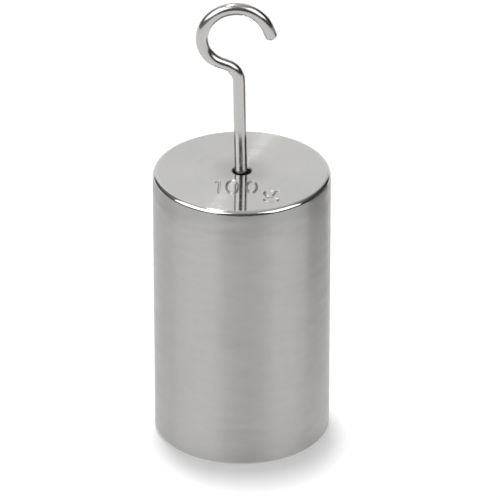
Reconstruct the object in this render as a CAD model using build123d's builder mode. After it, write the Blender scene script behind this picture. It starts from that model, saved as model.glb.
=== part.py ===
from build123d import *
import math
import os

# A hooked calibration weight: a turned stainless steel cylinder that stands on its flat
# foot, with a bent wire hook screwed into the middle of its top face.
# Frame: origin at the centre of the foot, +Z up the cylinder's axis. The hook lies in the
# XZ plane, and its eye opens towards +X. Millimetres and degrees.

os.makedirs("parts", exist_ok=True)

# ---- the turned cylinder ----
body_diameter = 21.4
body_height = 34.9
top_edge_radius = 0.6
foot_edge_radius = 0.6

# ---- the tapped hole in the top face ----
mouth_diameter = 2.2       # counterbore above the thread
mouth_depth = 2.0
mouth_chamfer = 0.15
bore_depth = 10.0          # full bore, from the top face
drill_point_angle = 118.0

# ---- the wire of the hook ----
wire_diameter = 1.5
thread_lead = 0.25         # chamfer that starts the threaded end
tip_radius = 0.45          # rounding of the free end
thread_clearance = 0.03    # all round the threaded end, and under it
hook_lean = 1.0            # the slack of the thread lets the hook lean this far to -X

# ---- the bends of the hook, in order from the cylinder to the tip ----
shank_height = 12.1        # straight wire above the top face
reverse_bend_radius = 2.2
reverse_bend_angle = 67.3
bend_run = 0.85            # straight wire between the reverse bend and the eye
eye_side_radius = 3.52
eye_side_angle = 89.0
eye_crown_radius = 4.07
eye_crown_angle = 138.0
tail_length = 1.4

# ---- sizes that follow ----
wire_radius = wire_diameter / 2
thread_length = bore_depth - mouth_depth
lean_slack = thread_length / 2 * math.tan(math.radians(hook_lean))
bore_radius = wire_radius + thread_clearance + lean_slack
drill_point_depth = bore_radius / math.tan(math.radians(drill_point_angle / 2))
thread_middle = body_height - mouth_depth - thread_length / 2

# The cylinder: a half section turned about the axis, then bored, counterbored and tapped
# from the top. The drill leaves its cone below the full bore.
with BuildPart() as body:
    with BuildSketch(Plane.XZ):
        Rectangle(body_diameter / 2, body_height, align=(Align.MIN, Align.MIN))
        outer_corners = vertices().group_by(Axis.X)[-1].sort_by(Axis.Z)
        fillet(outer_corners[0], radius=foot_edge_radius)
        fillet(outer_corners[1], radius=top_edge_radius)
    revolve(axis=Axis.Z)
    with Locations((0, 0, body_height)):
        CounterBoreHole(
            radius=bore_radius,
            counter_bore_radius=mouth_diameter / 2,
            counter_bore_depth=mouth_depth,
            depth=bore_depth,
        )
    mouth_rim = edges().filter_by(GeomType.CIRCLE).group_by(Axis.Z)[-1].sort_by(SortBy.RADIUS)[0]
    chamfer(mouth_rim, length=mouth_chamfer)
    with Locations((0, 0, body_height - bore_depth)):
        Cone(
            bottom_radius=0,
            top_radius=bore_radius,
            height=drill_point_depth,
            align=(Align.CENTER, Align.CENTER, Align.MAX),
            mode=Mode.SUBTRACT,
        )
body.part.label = "body"
export_step(body.part, "parts/body.step")

# The hook: one round wire swept through its bends. Its plane stands on the middle of the
# thread, about which the hook leans.
hook_plane = Plane.XZ.shift_origin((0, 0, thread_middle)).rotated((0, -hook_lean, 0))
below_middle = thread_length / 2 - thread_clearance
above_middle = thread_length / 2 + mouth_depth + shank_height

with BuildPart() as hook:
    with BuildLine(hook_plane) as wire:
        shank = Line((0, -below_middle), (0, above_middle))
        reverse_bend = JernArc(shank @ 1, shank % 1, reverse_bend_radius, reverse_bend_angle)
        run = Line(reverse_bend @ 1, reverse_bend @ 1 + reverse_bend % 1 * bend_run)
        eye_side = JernArc(run @ 1, run % 1, eye_side_radius, -eye_side_angle)
        eye_crown = JernArc(eye_side @ 1, eye_side % 1, eye_crown_radius, -eye_crown_angle)
        tail = Line(eye_crown @ 1, eye_crown @ 1 + eye_crown % 1 * tail_length)
    with BuildSketch(Plane(origin=shank @ 0, z_dir=shank % 0)):
        Circle(wire_radius)
    sweep()
    threaded_end = faces().sort_by(Axis.Z)[0]
    chamfer(threaded_end.edges(), length=thread_lead)
    free_end = faces().filter_by(GeomType.PLANE).sort_by_distance(tail @ 1)[0]
    fillet(free_end.edges(), radius=tip_radius)
hook.part.label = "hook"
export_step(hook.part, "parts/hook.step")
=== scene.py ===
import math

import bmesh
import bpy
from bpy.props import FloatProperty, FloatVectorProperty, IntProperty, PointerProperty
from mathutils import Matrix, Vector


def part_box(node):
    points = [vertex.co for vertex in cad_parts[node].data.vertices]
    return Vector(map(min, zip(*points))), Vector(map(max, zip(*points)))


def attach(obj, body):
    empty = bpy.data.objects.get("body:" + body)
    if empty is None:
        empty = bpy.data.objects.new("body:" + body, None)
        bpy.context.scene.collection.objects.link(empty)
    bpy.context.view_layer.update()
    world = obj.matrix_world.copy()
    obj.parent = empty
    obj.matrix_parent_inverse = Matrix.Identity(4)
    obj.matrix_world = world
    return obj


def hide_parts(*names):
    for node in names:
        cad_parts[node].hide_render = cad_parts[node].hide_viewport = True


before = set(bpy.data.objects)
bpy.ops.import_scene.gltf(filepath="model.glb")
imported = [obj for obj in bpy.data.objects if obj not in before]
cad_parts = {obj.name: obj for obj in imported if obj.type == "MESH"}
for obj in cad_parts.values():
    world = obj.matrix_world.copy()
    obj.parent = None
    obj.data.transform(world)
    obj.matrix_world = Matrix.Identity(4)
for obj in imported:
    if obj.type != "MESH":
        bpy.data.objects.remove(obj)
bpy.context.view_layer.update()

bl_info = {
    "name": "Hooked weight",
    "version": (1, 0, 0),
    "blender": (4, 5, 0),
    "location": "3D View > Sidebar > Weight",
    "description": "Turns a hooked calibration weight, bends its hook and sets its studio",
    "category": "Add Mesh",
}

# Frame: origin at the centre of the foot, +Z up the cylinder's axis. The hook lies in the XZ
# plane, and its eye opens towards +X. Metres and radians, except where a name says otherwise.
MM = 0.001
BODY_LOW, BODY_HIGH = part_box("body")
HOOK_LOW, HOOK_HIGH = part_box("hook")


# ---- sizes, finishes and studio ----


def length(name, description, default):
    """A length in metres, shown in the scene's unit."""
    return FloatProperty(name=name, description=description, default=default, unit="LENGTH", precision=5)


def angle(name, description, default):
    """An angle, given in degrees and kept in radians."""
    return FloatProperty(
        name=name, description=description, default=math.radians(default), subtype="ANGLE", unit="ROTATION"
    )


def colour(name, description, default):
    """A linear colour."""
    return FloatVectorProperty(
        name=name, description=description, default=default, size=3, subtype="COLOR", min=0.0, max=1.0
    )


def factor(name, description, default):
    """A number from 0 to 1."""
    return FloatProperty(
        name=name, description=description, default=default, subtype="FACTOR", min=0.0, max=1.0
    )


def brightness(name, description, default):
    """How bright a surface shines by itself, where 1 is white."""
    return FloatProperty(name=name, description=description, default=default, min=0.0)


def count(name, description, default, least):
    """A whole number of facets."""
    return IntProperty(name=name, description=description, default=default, min=least)


class BodySizes(bpy.types.PropertyGroup):
    """The turned cylinder and the hole in its top face."""

    diameter: length("Diameter", "Across the cylinder", BODY_HIGH.x - BODY_LOW.x)
    height: length("Height", "From foot to top face", BODY_HIGH.z - BODY_LOW.z)
    top_edge_radius: length("Top edge radius", "Rounding between side and top face", 0.6 * MM)
    foot_edge_radius: length("Foot edge radius", "Rounding between side and foot", 0.6 * MM)
    mouth_diameter: length("Mouth diameter", "Counterbore above the thread", 2.2 * MM)
    mouth_depth: length("Mouth depth", "Depth of the counterbore", 2.0 * MM)
    mouth_chamfer: length("Mouth chamfer", "Bevel round the mouth", 0.15 * MM)
    bore_diameter: length("Bore diameter", "Across the tapped bore", 1.7 * MM)
    bore_depth: length("Bore depth", "Full bore, from the top face", 10.0 * MM)
    drill_point_angle: angle("Drill point", "Angle of the cone below the bore", 118)
    steps: count("Steps", "Facets round the cylinder", 256, least=32)
    edge_segments: count("Edge segments", "Facets across a rounded edge", 12, least=2)


class MarkSizes(bpy.types.PropertyGroup):
    """The punched marks in the top face."""

    groove_width: length("Groove width", "Across a punched groove at the face", 0.31 * MM)
    groove_depth: length("Groove depth", "Depth of a punched groove", 0.17 * MM)
    steps: count("Steps", "Facets round a curved groove", 40, least=12)
    end_steps: count("End steps", "Facets round the end of a straight groove", 12, least=6)


class HookSizes(bpy.types.PropertyGroup):
    """The bent wire, in order from its threaded end to its tip."""

    wire_diameter: length("Wire diameter", "Across the wire", HOOK_HIGH.y - HOOK_LOW.y)
    lean: angle("Lean", "Lean of the hook in the slack of its thread, to -X", 1.0)
    thread_clearance: length("Thread clearance", "Gap under the threaded end", 0.03 * MM)
    thread_lead: length("Thread lead", "Chamfer of the threaded end", 0.25 * MM)
    shank_height: length("Shank height", "Straight wire above the top face", 12.1 * MM)
    reverse_bend_radius: length("Reverse bend radius", "Centre line of the first bend", 2.2 * MM)
    reverse_bend_angle: angle("Reverse bend", "Turn of the first bend", 67.3)
    bend_run: length("Run between bends", "Straight wire before the eye", 0.85 * MM)
    eye_side_radius: length("Eye side radius", "Centre line of the eye's side", 3.52 * MM)
    eye_side_angle: angle("Eye side", "Turn of the eye's side", 89)
    eye_crown_radius: length("Eye crown radius", "Centre line of the eye's crown", 4.07 * MM)
    eye_crown_angle: angle("Eye crown", "Turn of the eye's crown", 138)
    tail_length: length("Tail length", "Straight wire at the tip", 1.4 * MM)
    tip_radius: length("Tip radius", "Rounding of the free end", 0.45 * MM)
    steps: count("Steps", "Facets round the wire", 48, least=12)
    tip_segments: count("Tip segments", "Facets across the rounding of the free end", 10, least=2)
    bend_step: angle("Bend step", "Turn between two rings of a bend", 3)


class Finishes(bpy.types.PropertyGroup):
    """Colours and polish of the steel."""

    side_colour: colour("Side colour", "Satin side of the cylinder", (0.492, 0.487, 0.477))
    side_roughness: factor("Side roughness", "Satin side of the cylinder", 0.37)
    side_brushing: factor("Side brushing", "How far the satin follows its lines round the cylinder", 0.93)
    top_colour: colour("Top colour", "Fine-turned top face", (0.53, 0.525, 0.515))
    top_roughness: factor("Top roughness", "Bright rings of the fine-turned top face", 0.12)
    ring_roughness: factor("Ring roughness", "Rough rings of the fine-turned top face", 0.36)
    ring_pitch: length("Ring pitch", "From one turned ring to the next", 0.02 * MM)
    edge_colour: colour("Edge colour", "Polished round edges", (0.56, 0.555, 0.545))
    edge_roughness: factor("Edge roughness", "Polished round edges", 0.10)
    # the hole's colour is darkened as painted shade in the recess
    bore_shaded_colour: colour("Bore colour", "Drilled hole", (0.30, 0.295, 0.285))
    bore_roughness: factor("Bore roughness", "Drilled hole", 0.45)
    groove_colour: colour("Groove colour", "Punched marks", (0.50, 0.495, 0.485))
    groove_roughness: factor("Groove roughness", "Punched marks", 0.45)
    wire_colour: colour("Wire colour", "Polished wire", (0.52, 0.51, 0.50))
    wire_roughness: factor("Wire roughness", "Polished wire", 0.17)


class StudioSettings(bpy.types.PropertyGroup):
    """Floor, lights, flats and camera."""

    floor_colour: colour("Floor colour", "White paper floor", (0.80, 0.80, 0.80))
    floor_lift: brightness("Floor lift", "Light that the paper adds where it is looked at", 0.30)
    floor_in_metal: factor("Floor in metal", "How far the floor loses its shadow in the metal", 0.5)
    ambient: brightness("Ambient", "The white room, as it lights matt things", 0.33)
    top_lamp: FloatProperty(
        name="Top lamp", description="Power of the lamp overhead", default=6.7, min=0.0, unit="POWER"
    )
    left_softbox: brightness("Left softbox", "The softbox to the left, in the metal only", 2.5)
    right_softbox: brightness("Right softbox", "The softbox to the right, in the metal only", 2.4)
    strip_light: brightness("Strip light", "The narrow light overhead, in the metal only", 15.0)
    grey_card: brightness("Grey card", "The card beside the weight, in the metal only", 0.18)
    tent_low: brightness("Tent, low", "The dark cloth near the floor", 0.09)
    tent_high: brightness("Tent, high", "What the dark cloth gains overhead", 0.56)
    camera_elevation: angle("Camera elevation", "Height of the view above the horizon", 29.2)
    camera_distance: length("Camera distance", "From the middle of the cylinder", 642.0 * MM)
    camera_lens: FloatProperty(name="Lens", description="Focal length", default=380.4, min=1.0, unit="CAMERA")
    aim_right: length("Aim right", "Sideways from the cylinder's middle to the view's middle", 0.984 * MM)
    aim_up: length("Aim up", "Upwards from the cylinder's middle to the view's middle", 5.797 * MM)


# ---- shared mesh work ----


def mesh_of(bm, name):
    """The bmesh as a mesh."""
    mesh = bpy.data.meshes.new(name)
    bm.to_mesh(mesh)
    bm.free()
    return mesh


def closed_mesh(bm, name):
    """The bmesh as a mesh with its doubles merged and its faces turned outwards."""
    bmesh.ops.remove_doubles(bm, verts=bm.verts, dist=MM * 1e-4)
    bmesh.ops.recalc_face_normals(bm, faces=bm.faces)
    return mesh_of(bm, name)


def spin_full(bm, steps):
    """Spins everything in the bmesh once round the Z axis."""
    bmesh.ops.spin(
        bm, geom=bm.verts[:] + bm.edges[:], cent=(0, 0, 0), axis=(0, 0, 1), dvec=(0, 0, 0),
        angle=math.tau, steps=steps, use_merge=True, use_duplicate=False,
    )


def link(mesh, name):
    """A new object at the origin, in the scene."""
    piece = bpy.data.objects.new(name, mesh)
    bpy.context.scene.collection.objects.link(piece)
    return piece


def shade(mesh):
    """Smooth shading with sharp corners kept."""
    sharp_angle = math.radians(24)
    mesh.polygons.foreach_set("use_smooth", [True] * len(mesh.polygons))
    mesh.set_sharp_from_angle(angle=sharp_angle)


# ---- materials ----


def steel(name, tint, roughness, anisotropy=0.0):
    """A bare steel shader. What is even over the surface is set on its own sockets."""
    material = bpy.data.materials.new(name)
    material.use_nodes = True
    shader = material.node_tree.nodes["Principled BSDF"]
    shader.inputs["Base Color"].default_value = (*tint, 1.0)
    shader.inputs["Metallic"].default_value = 1.0
    shader.inputs["Roughness"].default_value = roughness
    shader.inputs["Anisotropic"].default_value = anisotropy
    shader.inputs["Anisotropic Rotation"].default_value = 0.25
    return material, shader


class Wiring:
    """Adds nodes to one tree and joins them."""

    def __init__(self, tree):
        self.tree = tree

    def node(self, kind, inputs=None, **settings):
        """A node with its settings, and its inputs set to values or joined to sockets."""
        made = self.tree.nodes.new(kind)
        for key, value in settings.items():
            setattr(made, key, value)
        for key, value in (inputs or {}).items():
            if isinstance(value, bpy.types.NodeSocket):
                self.tree.links.new(value, made.inputs[key])
            else:
                made.inputs[key].default_value = value
        return made

    def result(self, kind, inputs=None, **settings):
        """The first output of a new node."""
        return self.node(kind, inputs, **settings).outputs[0]

    def join(self, source, target):
        """A link from one socket to another."""
        self.tree.links.new(source, target)

    def math(self, operation, first, second=0.0):
        """One sum on two numbers or sockets."""
        return self.result("ShaderNodeMath", {0: first, 1: second}, operation=operation)

    def here(self):
        """The point on the piece, in metres, as one vector."""
        return self.node("ShaderNodeTexCoord").outputs["Object"]

    def place(self):
        """The x, y and z of a point on the piece, in metres."""
        return self.node("ShaderNodeSeparateXYZ", {0: self.here()}).outputs

    def spread(self, value, low, high):
        """A number from 0 to 1 spread between low and high."""
        return self.result("ShaderNodeMapRange", {"Value": value, "To Min": low, "To Max": high})

    def ramp(self, value, span, ends):
        """A soft step from the first end to the second as the value crosses the span."""
        return self.result(
            "ShaderNodeMapRange",
            {"Value": value, "From Min": span[0], "From Max": span[1], "To Min": ends[0], "To Max": ends[1]},
            interpolation_type="SMOOTHSTEP",
        )

    def scaled(self, vector, factors):
        """A vector or a colour times another, or times one number."""
        return self.result("ShaderNodeVectorMath", {0: vector, 1: factors}, operation="MULTIPLY")

    def noise(self, vector, scale, detail):
        """Noise with so many waves to the vector's unit."""
        return self.result("ShaderNodeTexNoise", {"Vector": vector, "Scale": scale, "Detail": detail})

    def grain(self, along, pitch):
        """Noise in one direction, one wave to a pitch in metres."""
        where = self.math("MULTIPLY", along, 1.0 / pitch)
        return self.result(
            "ShaderNodeTexNoise", {"W": where, "Scale": 1.0, "Detail": 2.0}, noise_dimensions="1D"
        )

    def smears(self, across, upward):
        """Noise in flat smears, with so many waves to a metre across and upward."""
        return self.noise(self.scaled(self.here(), (across, across, upward)), 1.0, 4.0)

    def bump(self, height, strength, depth):
        """The normal of a surface that the height roughens to a depth in metres."""
        return self.result("ShaderNodeBump", {"Height": height, "Strength": strength, "Distance": depth})


def round_tangent(wiring, shader):
    """Points the brushing round the cylinder's axis."""
    tangent = wiring.result("ShaderNodeTangent", direction_type="RADIAL", axis="Z")
    wiring.join(tangent, shader.inputs["Tangent"])


def turned_top(finish):
    """Fine-turned face: rings about the axis, most of them bright and some of them rough, with painted shade
    darkening its colour round the hole.
    """
    rough_span = (0.56, 0.74)       # of the noise, over which a ring turns rough
    # painted shade: the colour of the face darkens towards the hole over this reach
    painted_shade_reach = (1.0 * MM, 4.8 * MM)
    painted_shade_by_hole = 0.80
    material, shader = steel("turned_top", finish.top_colour, finish.top_roughness, anisotropy=1.0)
    wiring = Wiring(material.node_tree)
    x, y, _ = wiring.place()
    squares = wiring.math("ADD", wiring.math("MULTIPLY", x, x), wiring.math("MULTIPLY", y, y))
    radius = wiring.math("SQRT", squares)
    rings = wiring.grain(radius, finish.ring_pitch)
    rough = wiring.ramp(rings, rough_span, (finish.top_roughness, finish.ring_roughness))
    wiring.join(rough, shader.inputs["Roughness"])
    # painted shade round the hole, put into the colour of the face
    painted_shade_near_hole = wiring.ramp(radius, painted_shade_reach, (painted_shade_by_hole, 1.0))
    wiring.join(wiring.scaled(finish.top_colour[:], painted_shade_near_hole), shader.inputs["Base Color"])
    round_tangent(wiring, shader)
    return material


def satin_side(finish):
    """Satin side: fine lines round the cylinder, with smears and a band of painted shade under the top edge.
    """
    line_pitch = 0.05 * MM
    line_depth = 0.004 * MM
    # painted shade: a darker ragged band just under the top edge
    shade_band_ragged = 3.0 * MM
    shade_band_reach = (BODY_HIGH.z - 4.5 * MM, BODY_HIGH.z - 0.5 * MM)
    shade_band_depth = 0.88
    material, shader = steel("satin_side", finish.side_colour, finish.side_roughness, finish.side_brushing)
    wiring = Wiring(material.node_tree)
    _, _, z = wiring.place()
    cloud = wiring.smears(0.22 / MM, 0.9 / MM)
    rough = wiring.spread(cloud, finish.side_roughness * 0.85, finish.side_roughness * 1.15)
    wiring.join(rough, shader.inputs["Roughness"])
    lines = wiring.grain(z, line_pitch)
    wiring.join(wiring.bump(lines, 0.15, line_depth), shader.inputs["Normal"])
    # the painted shade band, put into the colour of the side
    ragged = wiring.math("ADD", z, wiring.spread(cloud, -shade_band_ragged, shade_band_ragged))
    painted_shade_band = wiring.ramp(ragged, shade_band_reach, (1.0, shade_band_depth))
    mottle = wiring.spread(wiring.smears(0.4 / MM, 1.2 / MM), 0.925, 1.065)
    tint = wiring.scaled(finish.side_colour[:], wiring.math("MULTIPLY", painted_shade_band, mottle))
    wiring.join(tint, shader.inputs["Base Color"])
    round_tangent(wiring, shader)
    return material


def polished_edge(finish):
    """Polished round edges, a little uneven in their gloss."""
    material, shader = steel("polished_edge", finish.edge_colour, finish.edge_roughness)
    wiring = Wiring(material.node_tree)
    handling = wiring.noise(wiring.here(), 0.8 / MM, 3.0)
    rough = wiring.spread(handling, finish.edge_roughness * 0.85, finish.edge_roughness * 1.15)
    wiring.join(rough, shader.inputs["Roughness"])
    return material


def drilled_bore(finish):
    """Drilled wall with tool marks, its colour painted darker as shade in the hole."""
    mark_pitch = 0.12 * MM
    mark_depth = 0.01 * MM
    material, shader = steel("drilled_bore", finish.bore_shaded_colour, finish.bore_roughness)
    wiring = Wiring(material.node_tree)
    _, _, z = wiring.place()
    marks = wiring.grain(z, mark_pitch)
    rough = wiring.spread(marks, finish.bore_roughness - 0.10, finish.bore_roughness + 0.15)
    wiring.join(rough, shader.inputs["Roughness"])
    wiring.join(wiring.bump(marks, 0.4, mark_depth), shader.inputs["Normal"])
    return material


def punched_groove(finish):
    """Pressed metal in the punched marks, finely dented."""
    dent_depth = 0.01 * MM
    material, shader = steel("punched_groove", finish.groove_colour, finish.groove_roughness)
    wiring = Wiring(material.node_tree)
    dents = wiring.noise(wiring.here(), 9.0 / MM, 2.0)
    wiring.join(wiring.bump(dents, 0.25, dent_depth), shader.inputs["Normal"])
    return material


def polished_wire(finish):
    """Polished wire with faint drawing lines along its length."""
    line_depth = 0.004 * MM
    material, shader = steel("polished_wire", finish.wire_colour, finish.wire_roughness)
    wiring = Wiring(material.node_tree)
    uv = wiring.result("ShaderNodeUVMap", uv_map="wire")
    lines = wiring.noise(wiring.scaled(uv, (60.0, 0.25 / MM, 0.0)), 1.0, 3.0)
    rough = wiring.spread(lines, finish.wire_roughness * 0.7, finish.wire_roughness * 1.5)
    wiring.join(rough, shader.inputs["Roughness"])
    wiring.join(wiring.bump(lines, 0.06, line_depth), shader.inputs["Normal"])
    return material


# ---- the turned body ----


def turn_section(sizes):
    """The cylinder and its hole, spun from a half section."""
    radius = sizes.diameter / 2
    height = sizes.height
    mouth = sizes.mouth_diameter / 2
    bore = sizes.bore_diameter / 2
    point = bore / math.tan(sizes.drill_point_angle / 2)
    past_edge = 1.1     # a corner just past each rounding keeps its shading off the flat
    section = [
        (0, 0),
        (radius - sizes.foot_edge_radius * past_edge, 0),
        (radius, 0),
        (radius, sizes.foot_edge_radius * past_edge),
        (radius, height - sizes.top_edge_radius * past_edge),
        (radius, height),
        (radius - sizes.top_edge_radius * past_edge, height),
        (mouth + sizes.mouth_chamfer, height),
        (mouth, height - sizes.mouth_chamfer),
        (mouth, height - sizes.mouth_depth),
        (bore, height - sizes.mouth_depth),
        (bore, height - sizes.bore_depth),
        (0, height - sizes.bore_depth - point),
    ]
    bm = bmesh.new()
    corners = [bm.verts.new((x, 0, z)) for x, z in section]
    bm.faces.new(corners)
    for corner, edge_radius in ((corners[2], sizes.foot_edge_radius), (corners[5], sizes.top_edge_radius)):
        bmesh.ops.bevel(
            bm, geom=[corner], offset=edge_radius, offset_type="OFFSET", affect="VERTICES",
            segments=sizes.edge_segments, profile=0.5, material=-1,
        )
    axis_edges = [e for e in bm.edges if all(abs(v.co.x) < MM * 1e-3 for v in e.verts)]
    bmesh.ops.delete(bm, geom=bm.faces[:], context="FACES_ONLY")
    bmesh.ops.delete(bm, geom=axis_edges, context="EDGES_FACES")
    spin_full(bm, sizes.steps)
    return closed_mesh(bm, "body")


# The punched marks, a little uneven: each stroke in millimetres on the top face.
STRAIGHT_STROKES = (
    ((-2.66, -2.55), (-2.78, -5.72)),   # stem of the one
    ((-2.66, -2.55), (-3.08, -3.02)),   # flag of the one
    ((3.95, -5.50), (4.42, -5.05)),     # ear of the letter
    ((2.90, -6.40), (2.95, -6.95)),     # neck of the letter
)
# Each oval's centre, half width and half height.
RING_STROKES = (
    ((-1.14, -4.22), 0.69, 1.62),       # first nought
    ((1.18, -4.22), 0.60, 1.40),        # second nought
    ((3.28, -5.80), 0.60, 0.72),        # upper bowl of the letter
    ((3.50, -7.38), 0.84, 0.54),        # lower bowl of the letter
)


def punch_top(marks):
    """How far a punch's solid stands above the face, and half its width there."""
    clear = marks.groove_depth
    return clear, marks.groove_width / 2 * (marks.groove_depth + clear) / marks.groove_depth


def straight_groove(start, end, marks):
    """A punch's V groove from start to end, as the solid it takes away."""
    clear, half_width = punch_top(marks)
    bm = bmesh.new()
    for place in (start, end):
        rim = Matrix.Translation((*place, clear))
        bmesh.ops.create_circle(bm, cap_ends=False, segments=marks.end_steps, radius=half_width, matrix=rim)
        bm.verts.new((*place, -marks.groove_depth))
    hull = bmesh.ops.convex_hull(bm, input=bm.verts)
    inside = hull["geom_interior"] + hull["geom_unused"]
    spare = [item for item in dict.fromkeys(inside) if isinstance(item, bmesh.types.BMVert)]
    bmesh.ops.delete(bm, geom=spare, context="VERTS")
    return bm


def ring_groove(centre, half_across, half_along, marks):
    """A punch's V groove round an oval, as the solid it takes away."""
    clear, half_width = punch_top(marks)
    bm = bmesh.new()
    tip = bm.verts.new((half_across, 0, -marks.groove_depth))
    inner = bm.verts.new((half_across - half_width, 0, clear))
    outer = bm.verts.new((half_across + half_width, 0, clear))
    bm.faces.new((tip, outer, inner))
    bmesh.ops.delete(bm, geom=bm.faces[:], context="FACES_ONLY")
    spin_full(bm, marks.steps)
    bmesh.ops.scale(bm, vec=(1, half_along / half_across, 1), verts=bm.verts)
    bmesh.ops.translate(bm, vec=(*centre, 0), verts=bm.verts)
    return bm


def cut_marks(piece, sizes, marks):
    """Punches the marks into the top face."""
    punches = []
    for start, end in STRAIGHT_STROKES:
        punches.append(straight_groove(Vector(start) * MM, Vector(end) * MM, marks))
    for centre, half_across, half_along in RING_STROKES:
        punches.append(ring_groove(Vector(centre) * MM, half_across * MM, half_along * MM, marks))
    for bm in punches:
        bmesh.ops.translate(bm, vec=(0, 0, sizes.height), verts=bm.verts)
        punch = link(closed_mesh(bm, "punch"), "punch")
        cut = piece.modifiers.new("punch", "BOOLEAN")
        cut.operation = "DIFFERENCE"
        cut.solver = "EXACT"
        cut.object = punch
        depsgraph = bpy.context.evaluated_depsgraph_get()
        punched = bpy.data.meshes.new_from_object(piece.evaluated_get(depsgraph))
        piece.modifiers.clear()
        piece.data = punched
        bpy.data.objects.remove(punch)


def give_finishes(mesh, sizes, marks):
    """Sorts the faces of the body into its finishes by where they lie."""
    side, top, edge, bore, groove = range(5)
    hair = MM * 1e-3        # a face this near a plane lies in it
    flat_normal = 0.999     # upward part of the normal of the top face
    edge_normal = 0.26      # and of the normal from which an edge is polished
    mouth = sizes.mouth_diameter / 2 + sizes.mouth_chamfer
    face_radius = sizes.diameter / 2 - sizes.top_edge_radius
    groove_bottom = sizes.height - marks.groove_depth * 1.2
    for face in mesh.polygons:
        out = math.hypot(face.center.x, face.center.y)
        z = face.center.z
        if out < mouth and z > hair:
            face.material_index = bore
        elif z > sizes.height - hair and face.normal.z > flat_normal:
            face.material_index = top
        elif out < face_radius and z > groove_bottom:
            face.material_index = groove
        elif z < hair:
            face.material_index = top
        elif abs(face.normal.z) > edge_normal:
            face.material_index = edge
        else:
            face.material_index = side


class WEIGHT_OT_turn_body(bpy.types.Operator):
    """Turns the body, punches its marks and gives it its finishes"""

    bl_idname = "weight.turn_body"
    bl_label = "Turn the body"

    def execute(self, context):
        settings = context.scene.hooked_weight
        sizes, marks, finish = settings.body, settings.marks, settings.finishes
        piece = link(turn_section(sizes), "turned_body")
        cut_marks(piece, sizes, marks)
        mesh = piece.data
        for material in (satin_side, turned_top, polished_edge, drilled_bore, punched_groove):
            mesh.materials.append(material(finish))
        give_finishes(mesh, sizes, marks)
        shade(mesh)
        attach(piece, "root")
        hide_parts("body")
        return {"FINISHED"}


# ---- the bent hook ----


class Wire:
    """A round wire that grows ring by ring in the XZ plane."""

    def __init__(self, sizes, start):
        self.bm = bmesh.new()
        self.along_layer = self.bm.verts.layers.float.new("along")
        self.bend_step = sizes.bend_step
        made = bmesh.ops.create_circle(
            self.bm, cap_ends=True, segments=sizes.steps, radius=sizes.wire_diameter / 2,
            matrix=Matrix.Translation(start),
        )
        self.ring = made["verts"]
        self.centre = Vector(start)
        self.heading = Vector((0, 0, 1))
        self.along = 0.0

    def rim(self):
        """The edges of the last ring, each once and always in the same order."""
        return list(dict.fromkeys(e for v in self.ring for e in v.link_edges if e.other_vert(v) in self.ring))

    def extend(self):
        """Draws a new ring out of the last one, still in the same place."""
        grown = bmesh.ops.extrude_edge_only(self.bm, edges=self.rim())
        self.ring = [item for item in grown["geom"] if isinstance(item, bmesh.types.BMVert)]

    def mark(self, travelled):
        """Writes how far along the wire the new ring is."""
        self.along += travelled
        for vert in self.ring:
            vert[self.along_layer] = self.along

    def run(self, distance):
        """Straight wire."""
        self.extend()
        bmesh.ops.translate(self.bm, vec=self.heading * distance, verts=self.ring)
        self.centre += self.heading * distance
        self.mark(distance)

    def bend(self, radius, turn):
        """Bent wire: a positive turn goes to the left, seen along +Y."""
        side = 1 if turn > 0 else -1
        left = Vector((-self.heading.z, 0, self.heading.x))
        pivot = self.centre + left * radius * side
        steps = math.ceil(abs(turn) / self.bend_step)
        step = Matrix.Rotation(-turn / steps, 3, "Y")
        for _ in range(steps):
            self.extend()
            bmesh.ops.rotate(self.bm, cent=pivot, matrix=step, verts=self.ring)
            self.centre = pivot + step @ (self.centre - pivot)
            self.heading = step @ self.heading
            self.mark(radius * abs(turn) / steps)

    def close(self):
        """Caps the free end and returns its rim."""
        rim = self.rim()
        bmesh.ops.contextual_create(self.bm, geom=rim)
        return rim


def unwrap_wire(mesh):
    """A UV map with the turn round the wire in u and the length along it in v."""
    along = mesh.attributes["along"].data
    layer = mesh.uv_layers.new(name="wire")
    for face in mesh.polygons:
        for corner in face.loop_indices:
            vert = mesh.loops[corner].vertex_index
            normal = mesh.vertices[vert].normal
            layer.data[corner].uv = (0.5 + 0.5 * normal.y, along[vert].value)


def bend_wire(sizes, body):
    """The hook upright about the middle of its thread, then leant."""
    thread_length = body.bore_depth - body.mouth_depth
    below = thread_length / 2 - sizes.thread_clearance
    above = thread_length / 2 + body.mouth_depth + sizes.shank_height
    wire = Wire(sizes, (0, 0, -below))
    first_rim = wire.bm.edges[:]
    wire.run(below + above)
    wire.bend(sizes.reverse_bend_radius, sizes.reverse_bend_angle)
    wire.run(sizes.bend_run)
    wire.bend(sizes.eye_side_radius, -sizes.eye_side_angle)
    wire.bend(sizes.eye_crown_radius, -sizes.eye_crown_angle)
    wire.run(sizes.tail_length)
    last_rim = wire.close()
    bmesh.ops.bevel(
        wire.bm, geom=first_rim, offset=sizes.thread_lead, offset_type="OFFSET", affect="EDGES",
        segments=1, profile=0.5, material=-1,
    )
    bmesh.ops.bevel(
        wire.bm, geom=last_rim, offset=sizes.tip_radius, offset_type="OFFSET", affect="EDGES",
        segments=sizes.tip_segments, profile=0.5, material=-1,
    )
    lean = Matrix.Rotation(-sizes.lean, 3, "Y")
    bmesh.ops.rotate(wire.bm, cent=(0, 0, 0), matrix=lean, verts=wire.bm.verts)
    thread_middle = body.height - body.mouth_depth - thread_length / 2
    bmesh.ops.translate(wire.bm, vec=(0, 0, thread_middle), verts=wire.bm.verts)
    return closed_mesh(wire.bm, "hook")


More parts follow.
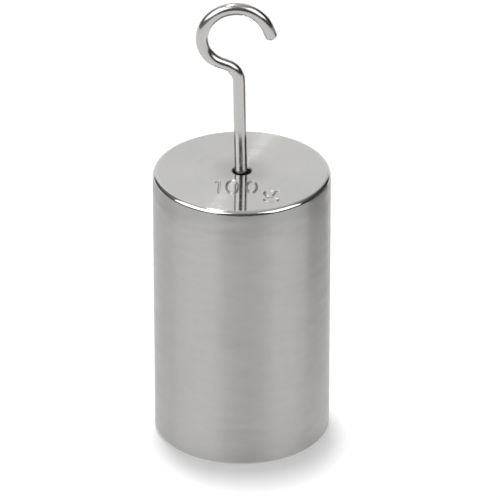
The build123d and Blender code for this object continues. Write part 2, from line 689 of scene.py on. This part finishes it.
class WEIGHT_OT_bend_hook(bpy.types.Operator):
    """Bends the wire hook and seats it in the tapped hole"""

    bl_idname = "weight.bend_hook"
    bl_label = "Bend the hook"

    def execute(self, context):
        settings = context.scene.hooked_weight
        mesh = bend_wire(settings.hook, settings.body)
        unwrap_wire(mesh)
        mesh.materials.append(polished_wire(settings.finishes))
        shade(mesh)
        piece = link(mesh, "wire_hook")
        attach(piece, "root")
        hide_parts("hook")
        return {"FINISHED"}


# ---- the studio ----

TENT_RADIUS = 1.2
FLOOR_REACH = 1.3


def seen_white(wiring):
    """1 for rays that look at a surface, straight, in a mirror or through glass, else 0."""
    path = wiring.node("ShaderNodeLightPath").outputs
    looks = wiring.math("ADD", path["Is Camera Ray"], path["Is Glossy Ray"])
    return wiring.math("MINIMUM", wiring.math("ADD", looks, path["Is Transmission Ray"]), 1.0)


def bare_material(name):
    """A material with no shader yet, its wiring, and the socket for its surface."""
    material = bpy.data.materials.new(name)
    material.use_nodes = True
    nodes = material.node_tree.nodes
    nodes.remove(nodes["Principled BSDF"])
    return material, Wiring(material.node_tree), nodes["Material Output"].inputs["Surface"]


def paper_floor(studio):
    """White paper that keeps the shadow of what stands on it, and shows less of it in the metal."""
    material, wiring, surface = bare_material("paper_floor")
    paper = wiring.result("ShaderNodeBsdfDiffuse", {"Color": (*studio.floor_colour, 1.0)})
    lift = wiring.math("MULTIPLY", seen_white(wiring), studio.floor_lift)
    glow = wiring.result("ShaderNodeEmission", {"Strength": lift})
    lit = wiring.result("ShaderNodeAddShader", {0: paper, 1: glow})
    white = wiring.result("ShaderNodeEmission", {"Strength": 1.0})
    in_metal = wiring.node("ShaderNodeLightPath").outputs["Is Glossy Ray"]
    whitened = wiring.math("MULTIPLY", in_metal, studio.floor_in_metal)
    wiring.join(wiring.result("ShaderNodeMixShader", {0: whitened, 1: lit, 2: white}), surface)
    return material


def glowing_cloth(name, strength):
    """Cloth that shines evenly by itself."""
    material, wiring, surface = bare_material(name)
    wiring.join(wiring.result("ShaderNodeEmission", {"Strength": strength}), surface)
    return material


def tent_cloth(studio):
    """Cloth round the studio: dark in front, lighter overhead, and white behind the weight."""
    material, wiring, surface = bare_material("dark_tent")
    x, y, z = wiring.place()
    # The dark cloth: darker towards the right, and lighter as the level rises from 0 to 1.
    level = wiring.math("DIVIDE", z, TENT_RADIUS)
    left_to_right = (-0.9 * TENT_RADIUS, 0.9 * TENT_RADIUS)
    low = wiring.ramp(x, left_to_right, (studio.tent_low * 1.5, studio.tent_low * 0.4))
    high = wiring.math("MULTIPLY", wiring.math("POWER", level, 4.0), studio.tent_high)
    dark = wiring.math("ADD", low, high)
    # The white cloth: it fades overhead, and sooner on the right.
    leant = wiring.math("ADD", level, wiring.math("MULTIPLY", x, 1.0 / TENT_RADIUS))
    white = wiring.ramp(leant, (0.5, 1.0), (1.0, studio.tent_high + studio.tent_low))
    # Backwards is 1 straight behind the weight and 0 at its sides, at any level.
    reach = wiring.math("SQRT", wiring.math("SUBTRACT", 1.0001, wiring.math("MULTIPLY", level, level)))
    backwards = wiring.math("DIVIDE", wiring.math("DIVIDE", y, TENT_RADIUS), reach)
    behind = wiring.ramp(backwards, (0.78, 0.86), (0.0, 1.0))
    grey = wiring.result("ShaderNodeMix", {"Factor": behind, "A": dark, "B": white}, data_type="FLOAT")
    wiring.join(wiring.result("ShaderNodeEmission", {"Strength": grey}), surface)
    return material


def reflected_only(piece):
    """Seen in the metal, and neither by the camera nor by the floor."""
    piece.visible_camera = False
    piece.visible_diffuse = False
    piece.visible_shadow = False


def flat(name, strength, azimuth, elevation, distance, width, height, roll=0.0):
    """A flat cloth that faces the top of the weight, placed by angles in degrees and sizes in metres.

    Azimuth runs to the right from the camera's side, and roll turns the cloth in its own plane.
    """
    bm = bmesh.new()
    bmesh.ops.create_grid(bm, x_segments=1, y_segments=1, size=0.5)
    bmesh.ops.scale(bm, vec=(width, height, 1), verts=bm.verts)
    round_by, up_by = math.radians(azimuth), math.radians(elevation)
    level = Vector((math.sin(round_by), -math.cos(round_by), 0))
    out = level * math.cos(up_by) + Vector((0, 0, math.sin(up_by)))
    turned = Matrix.Rotation(math.radians(roll), 3, "Z")
    face_in = (-out).to_track_quat("Z", "Y").to_matrix() @ turned
    bmesh.ops.rotate(bm, cent=(0, 0, 0), matrix=face_in, verts=bm.verts)
    aim = Vector((0, 0, BODY_HIGH.z))
    bmesh.ops.translate(bm, vec=aim + out * distance, verts=bm.verts)
    mesh = mesh_of(bm, name)
    mesh.materials.append(glowing_cloth(name, strength))
    reflected_only(link(mesh, name))


def top_lamp(studio, body):
    """A lamp high over the weight and a little behind it, which throws the shadow forward."""
    light = bpy.data.lights.new("top_lamp", "AREA")
    light.shape = "RECTANGLE"
    light.size = 0.10
    light.size_y = 0.18
    light.energy = studio.top_lamp
    lamp = bpy.data.objects.new("top_lamp", light)
    lamp.location = (-0.022, 0.11, 1.0)
    lamp.rotation_euler = (Vector((0, 0, body.height)) - lamp.location).to_track_quat("-Z", "Y").to_euler()
    lamp.visible_glossy = False
    lamp.visible_camera = False
    bpy.context.scene.collection.objects.link(lamp)


def dark_tent(studio):
    """A dome of cloth, dark in front and white behind, so that the metal has something to show."""
    bm = bmesh.new()
    first = bm.verts.new((0, TENT_RADIUS, 0))
    bmesh.ops.spin(
        bm, geom=[first], cent=(0, 0, 0), axis=(1, 0, 0), dvec=(0, 0, 0),
        angle=math.pi / 2, steps=24, use_merge=False, use_duplicate=False,
    )
    spin_full(bm, 72)
    mesh = closed_mesh(bm, "dark_tent")
    mesh.materials.append(tent_cloth(studio))
    reflected_only(link(mesh, "dark_tent"))


def white_room(studio):
    """A white world, dimmer on matt things."""
    world = bpy.data.worlds.new("white_room")
    world.use_nodes = True
    wiring = Wiring(world.node_tree)
    background = world.node_tree.nodes["Background"]
    background.inputs["Color"].default_value = (1, 1, 1, 1)
    strength = wiring.spread(seen_white(wiring), studio.ambient, 1.0)
    wiring.join(strength, background.inputs["Strength"])
    bpy.context.scene.world = world


def floor(studio):
    """A wide sheet of white paper under the foot."""
    bm = bmesh.new()
    bmesh.ops.create_grid(bm, x_segments=1, y_segments=1, size=FLOOR_REACH)
    mesh = mesh_of(bm, "floor")
    mesh.materials.append(paper_floor(studio))
    link(mesh, "floor")


def camera(studio, body):
    """A long lens that looks a little down on the weight."""
    lens = bpy.data.cameras.new("camera")
    lens.lens = studio.camera_lens
    lens.clip_start = 0.05
    lens.clip_end = 10.0
    rise = studio.camera_elevation
    back = Vector((0, -math.cos(rise), math.sin(rise)))
    up = Vector((0, math.sin(rise), math.cos(rise)))
    middle = Vector((0, 0, body.height / 2))
    place = middle + back * studio.camera_distance
    aim = middle + Vector((1, 0, 0)) * studio.aim_right + up * studio.aim_up
    eye = bpy.data.objects.new("camera", lens)
    eye.location = place
    eye.rotation_euler = (aim - place).to_track_quat("-Z", "Y").to_euler()
    bpy.context.scene.collection.objects.link(eye)
    bpy.context.scene.camera = eye


class WEIGHT_OT_set_studio(bpy.types.Operator):
    """Lays the floor and sets the lights, the flats and the camera"""

    bl_idname = "weight.set_studio"
    bl_label = "Set the studio"

    def execute(self, context):
        settings = context.scene.hooked_weight
        studio = settings.studio
        floor(studio)
        white_room(studio)
        dark_tent(studio)
        top_lamp(studio, settings.body)
        flat(
            "softbox_left", studio.left_softbox,
            azimuth=-63.5, elevation=43, distance=0.55, width=0.62, height=0.46,
        )
        flat(
            "softbox_right", studio.right_softbox,
            azimuth=60, elevation=42, distance=0.60, width=0.44, height=0.44,
        )
        flat(
            "strip_light", studio.strip_light,
            azimuth=-138.3, elevation=71.4, distance=1.1, width=0.11, height=0.62, roll=58.9,
        )
        flat(
            "grey_card", studio.grey_card,
            azimuth=107, elevation=-12, distance=0.088, width=0.068, height=0.062,
        )
        camera(studio, settings.body)
        context.scene.view_settings.view_transform = "Standard"
        return {"FINISHED"}


# ---- the add-on ----


class HookedWeightSettings(bpy.types.PropertyGroup):
    """Everything that can be set for the weight."""

    body: PointerProperty(type=BodySizes)
    marks: PointerProperty(type=MarkSizes)
    hook: PointerProperty(type=HookSizes)
    finishes: PointerProperty(type=Finishes)
    studio: PointerProperty(type=StudioSettings)


class WEIGHT_PT_panel(bpy.types.Panel):
    """Makes the weight, one piece at a time"""

    bl_idname = "WEIGHT_PT_panel"
    bl_label = "Hooked weight"
    bl_space_type = "VIEW_3D"
    bl_region_type = "UI"
    bl_category = "Weight"

    def draw(self, context):
        settings = context.scene.hooked_weight
        for title in ("body", "marks", "hook", "finishes", "studio"):
            group = getattr(settings, title)
            box = self.layout.box()
            box.label(text=title.capitalize())
            for name in group.bl_rna.properties.keys():
                if name not in ("rna_type", "name"):
                    box.prop(group, name)
        for made in (WEIGHT_OT_turn_body, WEIGHT_OT_bend_hook, WEIGHT_OT_set_studio):
            self.layout.operator(made.bl_idname)


CLASSES = (
    BodySizes, MarkSizes, HookSizes, Finishes, StudioSettings, HookedWeightSettings,
    WEIGHT_OT_turn_body, WEIGHT_OT_bend_hook, WEIGHT_OT_set_studio, WEIGHT_PT_panel,
)


def register():
    """Makes the classes and the settings known to Blender."""
    for made in CLASSES:
        bpy.utils.register_class(made)
    bpy.types.Scene.hooked_weight = PointerProperty(type=HookedWeightSettings)


def unregister():
    """Takes the settings and the classes away again."""
    del bpy.types.Scene.hooked_weight
    for made in reversed(CLASSES):
        bpy.utils.unregister_class(made)


def main():
    """Makes the weight in its studio."""
    register()
    bpy.ops.weight.turn_body()
    bpy.ops.weight.bend_hook()
    bpy.ops.weight.set_studio()


if __name__ == "__main__":
    main()
